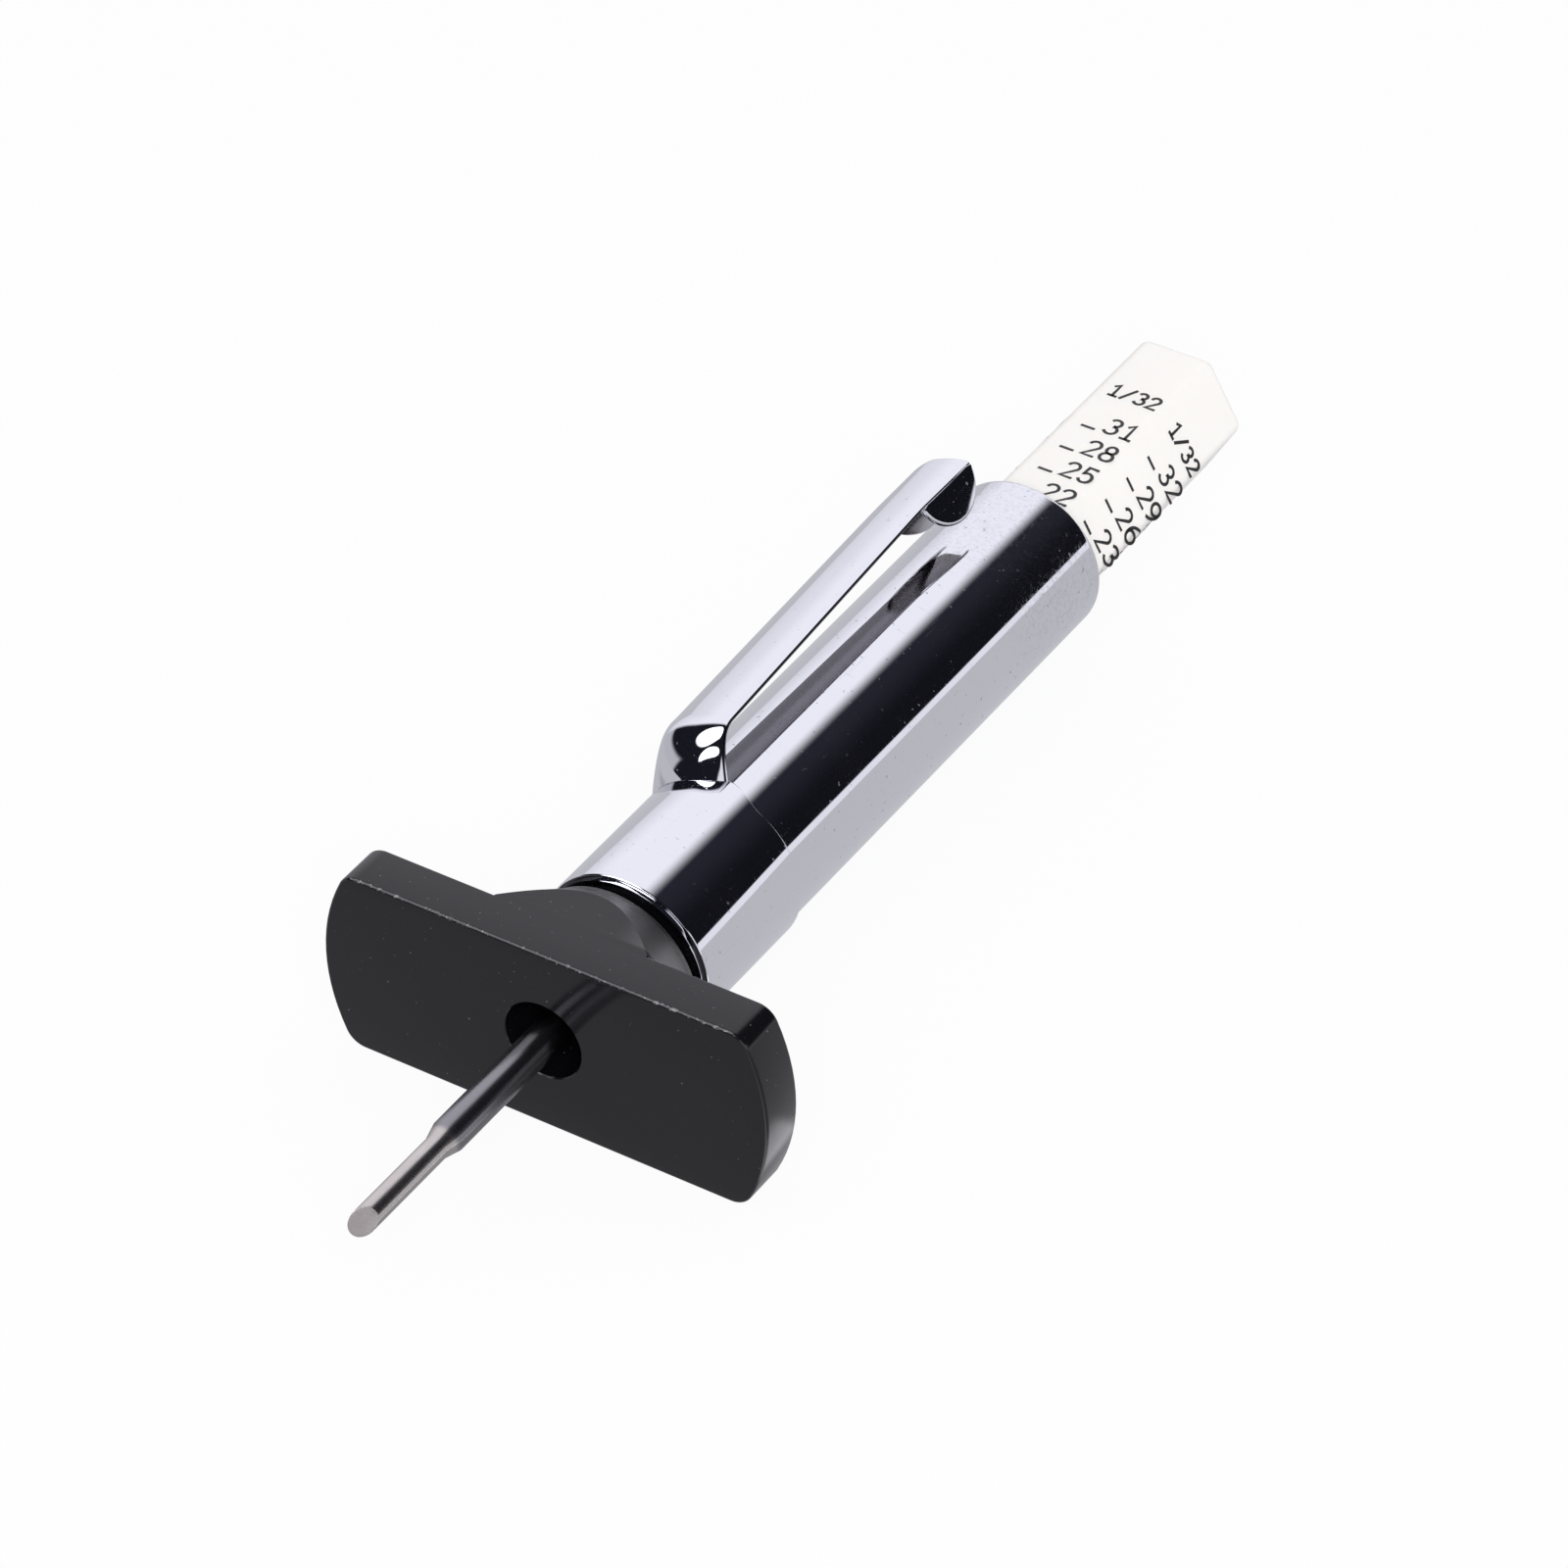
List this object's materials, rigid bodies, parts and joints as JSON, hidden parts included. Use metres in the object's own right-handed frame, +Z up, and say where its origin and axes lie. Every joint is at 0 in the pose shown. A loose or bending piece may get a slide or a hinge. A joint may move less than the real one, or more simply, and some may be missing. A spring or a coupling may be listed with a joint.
{
  "type": "tire tread depth gauge",
  "caption": "Pocket tread depth gauge: black T foot, chrome barrel with clip, hexagonal scale bar that slides and spins, and a stepped steel probe.",
  "frame": {"origin": "where the probe's axis crosses the measuring face of the foot", "axes": "+Y along the barrel towards the scale, +X along the foot, +Z up with the gauge lying on the foot's long side"},
  "size_m": [0.0274, 0.0831, 0.014],
  "materials": {
    "black_plastic": "moulded black, semi-gloss",
    "chrome_plate": "bright chrome over drawn tube",
    "chrome_sheet": "bright chrome over stamped sheet",
    "white_plastic": "white, slightly translucent, printed in black",
    "ground_steel": "polished, ground at the point",
    "black_rubber": "plain"
  },
  "bodies": {
    "case": {"foot": "black_plastic", "barrel": "chrome_plate", "pocket_clip": "chrome_sheet"},
    "ring": {"friction_ring": "black_rubber"},
    "slider": {"scale_bar": "white_plastic", "probe_pin": "ground_steel"}
  },
  "joints": [
    {"name": "bar_slide", "type": "slide", "parent": "case", "child": "ring", "axis": [0, 1, 0], "range_m": [-0.0086, 0.0171]},
    {"name": "bar_spin", "type": "hinge", "parent": "ring", "child": "slider", "pos_m": [0, 0.03, 0], "axis": [0, 1, 0], "continuous": true}
  ]
}
